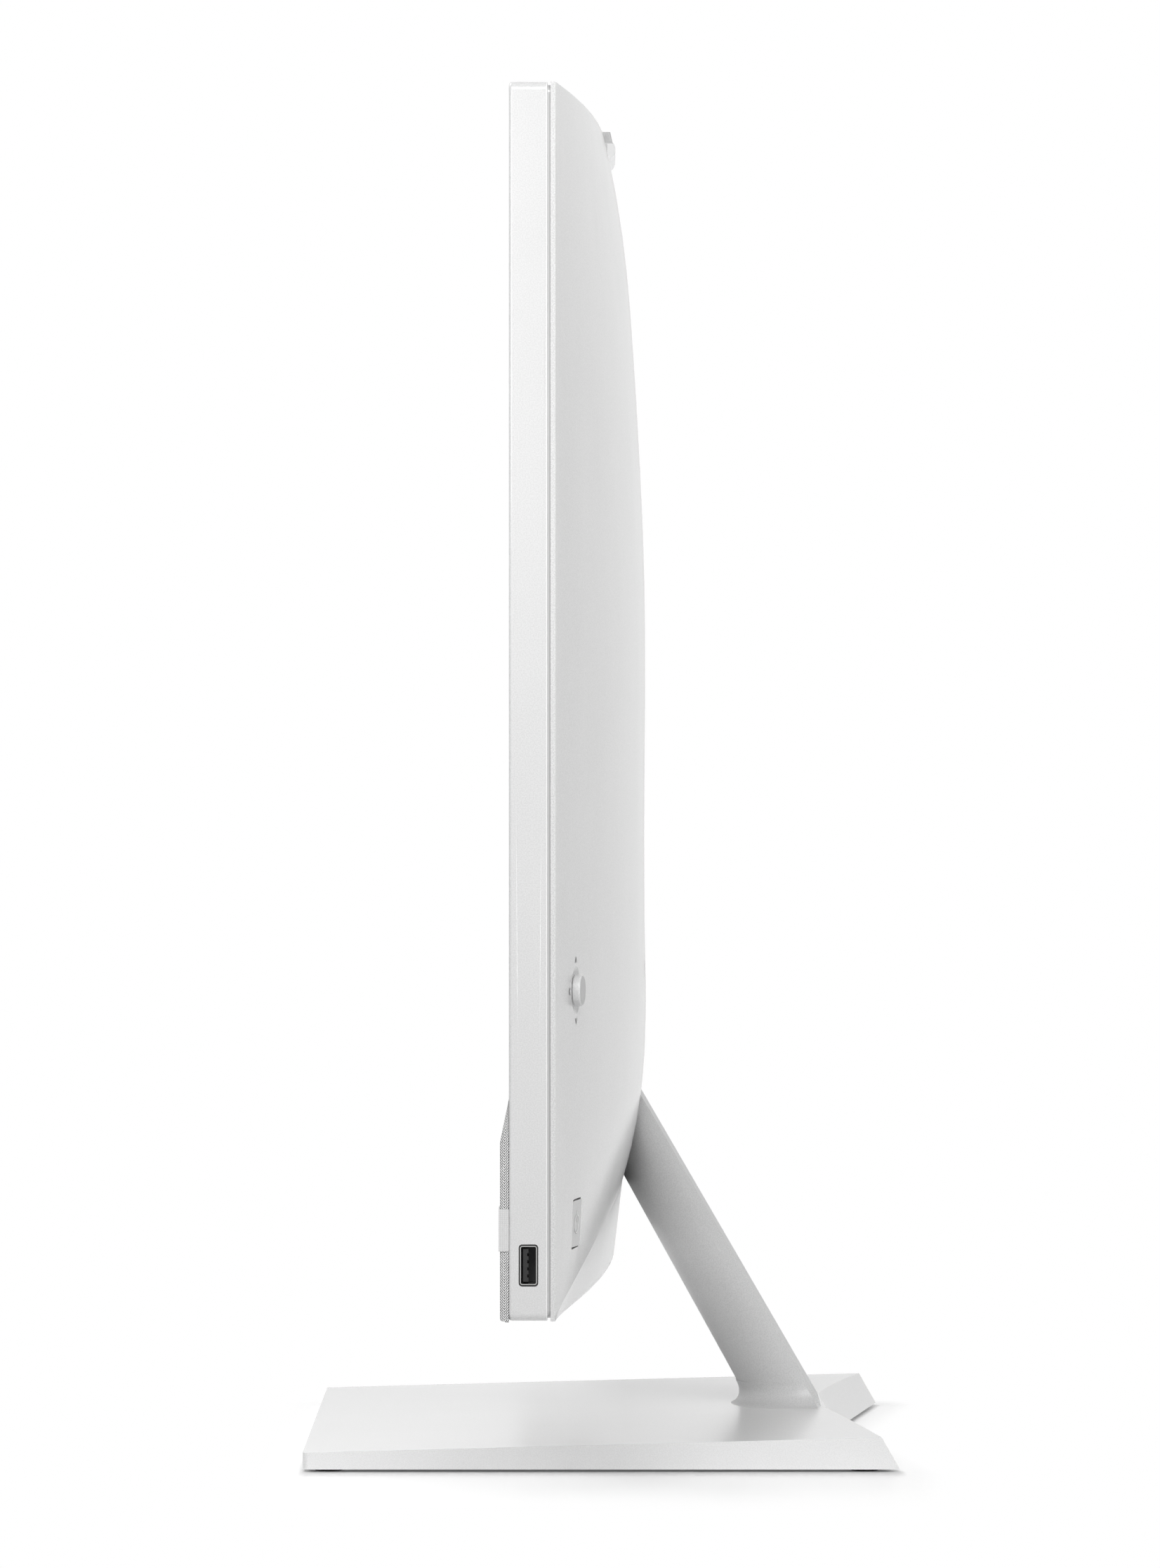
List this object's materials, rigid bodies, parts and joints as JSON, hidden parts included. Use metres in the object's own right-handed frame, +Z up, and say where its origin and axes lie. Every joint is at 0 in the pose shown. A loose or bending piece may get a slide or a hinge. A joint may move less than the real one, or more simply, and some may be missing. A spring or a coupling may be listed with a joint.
{
  "type": "all in one pc",
  "caption": "All in one computer with a thin domed display on a leaning neck and wedge base: display tilts, webcam slides up, buttons press.",
  "frame": {"origin": "on the table, below the middle of the base", "axes": "+Z up, the screen faces -Y, +X is the side with the USB socket and the power button"},
  "size_m": [0.612, 0.214, 0.4863],
  "materials": {
    "stand_paint": "fine satin powder coat, white",
    "plate_steel": "zinc plated sheet",
    "foot_rubber": "matt black",
    "screw_steel": "zinc plated",
    "frame_plastic": "fine satin, white",
    "screen_glass": "polished, dark",
    "panel_black": "matt black",
    "bar_fabric": "pale grey herringbone weave",
    "tag_fabric": "fine rib weave",
    "black_plastic": "matt black",
    "cone_rubber": "matt black",
    "cover_plastic": "fine satin, white",
    "socket_steel": "bright nickel plate",
    "circuit_board": "dark green lacquer",
    "copper": "bright copper",
    "fin_aluminium": "mill finish",
    "window_black": "gloss black"
  },
  "bodies": {
    "stand": {"base_shell": "stand_paint", "base_plate": "plate_steel", "foot_front_left": "foot_rubber", "foot_front_right": "foot_rubber", "foot_rear_left": "foot_rubber", "foot_rear_right": "foot_rubber", "base_screws": "screw_steel", "neck_shell": "stand_paint", "neck_rear_cover": "stand_paint", "neck_core": "plate_steel", "hinge_pin": "screw_steel", "hinge_nuts": "screw_steel"},
    "display": {"friction_washers": "screw_steel", "hinge_bracket": "plate_steel", "front_frame": "frame_plastic", "cover_glass": "screen_glass", "lcd_panel": "panel_black", "chassis_plate": "plate_steel", "speaker_grille": "frame_plastic", "speaker_fabric": "bar_fabric", "fabric_tag": "tag_fabric", "speaker_box_left": "black_plastic", "speaker_box_right": "black_plastic", "speaker_cone_left": "cone_rubber", "speaker_cone_right": "cone_rubber", "rear_cover": "cover_plastic", "dc_inlet": "black_plastic", "hdmi_socket": "socket_steel", "lan_socket": "socket_steel", "rear_usb_socket_inner": "socket_steel", "rear_usb_socket_outer": "socket_steel", "audio_socket": "black_plastic", "side_usb_surround": "black_plastic", "side_usb_shell": "socket_steel", "side_usb_tongue": "black_plastic", "side_usb_board": "circuit_board", "webcam_guide": "black_plastic", "power_switch": "black_plastic", "joystick_housing": "black_plastic", "motherboard": "circuit_board", "memory_modules": "circuit_board", "storage_drive": "circuit_board", "wireless_card": "circuit_board", "blower_housing": "black_plastic", "heat_pipe": "copper", "cold_plate": "copper", "heat_sink": "fin_aluminium"},
    "webcam": {"webcam_body": "cover_plastic", "webcam_cap": "cover_plastic", "webcam_window": "window_black", "webcam_lens": "screen_glass"},
    "power_button": {"power_button": "cover_plastic"},
    "joystick_gimbal": {"joystick_ring": "black_plastic"},
    "joystick_lever": {"joystick_stem": "socket_steel"},
    "joystick_knob": {"joystick_cap": "cover_plastic"},
    "blower_fan": {"blower_rotor": "black_plastic"}
  },
  "joints": [
    {"name": "display_tilt", "type": "hinge", "parent": "stand", "child": "display", "pos_m": [0, 0.0049, 0.1259], "axis": [-1, 0, 0], "range_deg": [-5, 20]},
    {"name": "webcam_slide", "type": "slide", "parent": "display", "child": "webcam", "axis": [0, 0, 1], "range_m": [0, 0.025]},
    {"name": "power_button_press", "type": "slide", "parent": "display", "child": "power_button", "axis": [-0.2041, -0.9779, 0.0443], "range_m": [0, 0.0008], "stiffness_N_per_m": 800, "springref_m": -0.0004},
    {"name": "joystick_up_down", "type": "hinge", "parent": "display", "child": "joystick_gimbal", "pos_m": [0.27032, -0.01338, 0.17838], "axis": [-0.9838, 0.1795, 0], "range_deg": [-5, 5], "stiffness_Nm_per_rad": 0.05},
    {"name": "joystick_left_right", "type": "hinge", "parent": "joystick_gimbal", "child": "joystick_lever", "pos_m": [0.27032, -0.01338, 0.17838], "axis": [-0.0006, -0.0031, 1], "range_deg": [-5, 5], "stiffness_Nm_per_rad": 0.05},
    {"name": "joystick_press", "type": "slide", "parent": "joystick_lever", "child": "joystick_knob", "axis": [-0.1795, -0.9838, -0.0031], "range_m": [0, 0.0003], "stiffness_N_per_m": 600, "springref_m": -0.0004},
    {"name": "fan_spin", "type": "hinge", "parent": "display", "child": "blower_fan", "pos_m": [-0.11, -0.01, 0.414], "axis": [0, 1, 0], "continuous": true}
  ]
}
